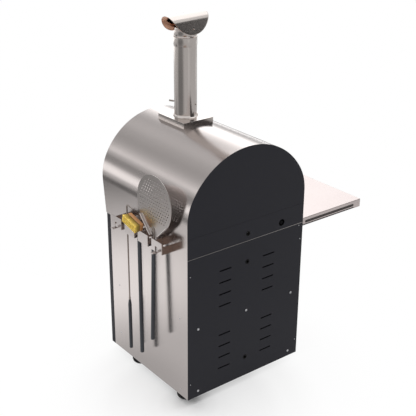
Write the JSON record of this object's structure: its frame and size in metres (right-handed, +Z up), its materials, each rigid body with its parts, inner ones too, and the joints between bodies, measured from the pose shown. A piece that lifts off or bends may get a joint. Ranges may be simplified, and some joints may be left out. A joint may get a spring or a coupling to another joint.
{
  "type": "outdoor pizza oven table",
  "caption": "Outdoor pizza oven with an arched steel hood and a capped flue on a two-door cabinet, with a fold-down side shelf and hanging tools.",
  "frame": {"origin": "on the floor, under the middle of the whole outline", "axes": "+Z up, the oven's mouth and the cabinet's doors face -Y, the tool rack is on the +X side and the side shelf on the -X side"},
  "size_m": [1.393, 0.8394, 2.01],
  "materials": {
    "wrap_steel": "fine-brushed stainless steel, slightly warm",
    "panel_black": "black powder coat, satin",
    "seam_steel": "cut steel edge",
    "vault_steel": "plain stainless steel, satin",
    "blanket": "mineral blanket",
    "heat_board": "pale heat board",
    "hearth": "pale fired stone, matt",
    "brass_parts": "plain brass",
    "inlet_dark": "blackened steel",
    "flue_steel": "rolled stainless steel",
    "screw_steel": "bright zinc",
    "rubber_black": "black rubber",
    "magnet_block": "dark plastic",
    "window_glass": "dark heat glass",
    "bar_steel": "polished bar",
    "dial_face": "pale dial in a steel case",
    "knob_black": "black knob",
    "button_red": "red button",
    "shelf_steel": "fine-brushed stainless steel, bright",
    "frame_black": "black powder coat",
    "peel_metal": "satin aluminium",
    "grip_black": "black grip",
    "brush_wood": "oiled wood",
    "bristle_brass": "yellow wire",
    "tool_steel": "plain steel"
  },
  "bodies": {
    "stand": {"outer_shell": "wrap_steel", "base_pan": "panel_black", "corner_posts": "panel_black", "deck_plate": "seam_steel", "back_panel_lower": "panel_black", "access_strip": "panel_black", "back_panel_upper": "panel_black", "oven_front": "wrap_steel", "mouth_collar": "vault_steel", "inner_vault": "vault_steel", "insulation_blanket": "blanket", "floor_board": "heat_board", "hearth_stone_right": "hearth", "hearth_stone_left": "hearth", "burner_tube": "vault_steel", "gas_pipe": "brass_parts", "gas_inlet": "inlet_dark", "gas_valve": "brass_parts", "flashing": "flue_steel", "flue_collar": "flue_steel", "flue_pipe": "flue_steel", "cap_collar": "flue_steel", "flue_cap": "flue_steel", "cap_rivets": "screw_steel", "tool_rack": "wrap_steel", "shelf_brackets": "frame_black", "shelf_pins": "screw_steel", "feet": "rubber_black", "back_screws": "screw_steel", "side_screws": "screw_steel", "magnet_catches": "magnet_block", "door_pins": "screw_steel", "oven_hinge_pins": "screw_steel", "grommets": "rubber_black", "thermometer": "dial_face"},
    "door_right": {"cabinet_door_right": "panel_black", "door_handle_right": "bar_steel"},
    "door_left": {"cabinet_door_left": "panel_black", "door_handle_left": "bar_steel"},
    "oven_door": {"oven_door": "wrap_steel", "oven_door_liner": "vault_steel", "oven_door_glass": "window_glass", "oven_door_handle": "bar_steel"},
    "damper": {"damper_plate": "vault_steel", "damper_spindle": "tool_steel"},
    "knob": {"burner_knob": "knob_black"},
    "igniter": {"igniter_button": "button_red"},
    "shelf": {"shelf_top": "shelf_steel", "shelf_frame": "frame_black"},
    "peel": {"peel_blade": "peel_metal", "peel_tang": "tool_steel", "peel_handle": "grip_black"},
    "brush": {"brush_back": "brush_wood", "brush_bristles": "bristle_brass", "brush_strap": "tool_steel", "brush_handle": "grip_black"},
    "poker": {"poker_rod": "tool_steel", "poker_handle": "grip_black"}
  },
  "joints": [
    {"name": "door_right_hinge", "type": "hinge", "parent": "stand", "child": "door_right", "pos_m": [0.5745, -0.33377, 0.47], "axis": [0, 0, 1], "range_deg": [0, 110]},
    {"name": "door_left_hinge", "type": "hinge", "parent": "stand", "child": "door_left", "pos_m": [-0.2015, -0.33377, 0.47], "axis": [0, 0, -1], "range_deg": [0, 110]},
    {"name": "oven_door_hinge", "type": "hinge", "parent": "stand", "child": "oven_door", "pos_m": [0.1865, -0.34777, 0.95], "axis": [1, 0, 0], "range_deg": [0, 90]},
    {"name": "damper_turn", "type": "hinge", "parent": "stand", "child": "damper", "pos_m": [0.1865, -0.13577, 1.52], "axis": [0.4226, -0.9063, 0], "range_deg": [0, 90]},
    {"name": "knob_turn", "type": "hinge", "parent": "stand", "child": "knob", "pos_m": [-0.1135, -0.35077, 0.936], "axis": [0, -1, 0], "range_deg": [0, 90]},
    {"name": "igniter_press", "type": "slide", "parent": "stand", "child": "igniter", "axis": [0, 1, 0], "range_m": [0, 0.004], "stiffness_N_per_m": 400},
    {"name": "shelf_fold", "type": "hinge", "parent": "stand", "child": "shelf", "pos_m": [-0.2295, 0.05223, 0.869], "axis": [0, 1, 0], "range_deg": [-90, 0]},
    {"name": "peel_lift", "type": "slide", "parent": "stand", "child": "peel", "axis": [-0.0311, 0, 0.9995], "range_m": [0, 0.25]},
    {"name": "brush_lift", "type": "slide", "parent": "stand", "child": "brush", "axis": [0, 0, 1], "range_m": [0, 0.12]},
    {"name": "poker_lift", "type": "slide", "parent": "stand", "child": "poker", "axis": [0, 0, 1], "range_m": [0, 0.25]}
  ]
}
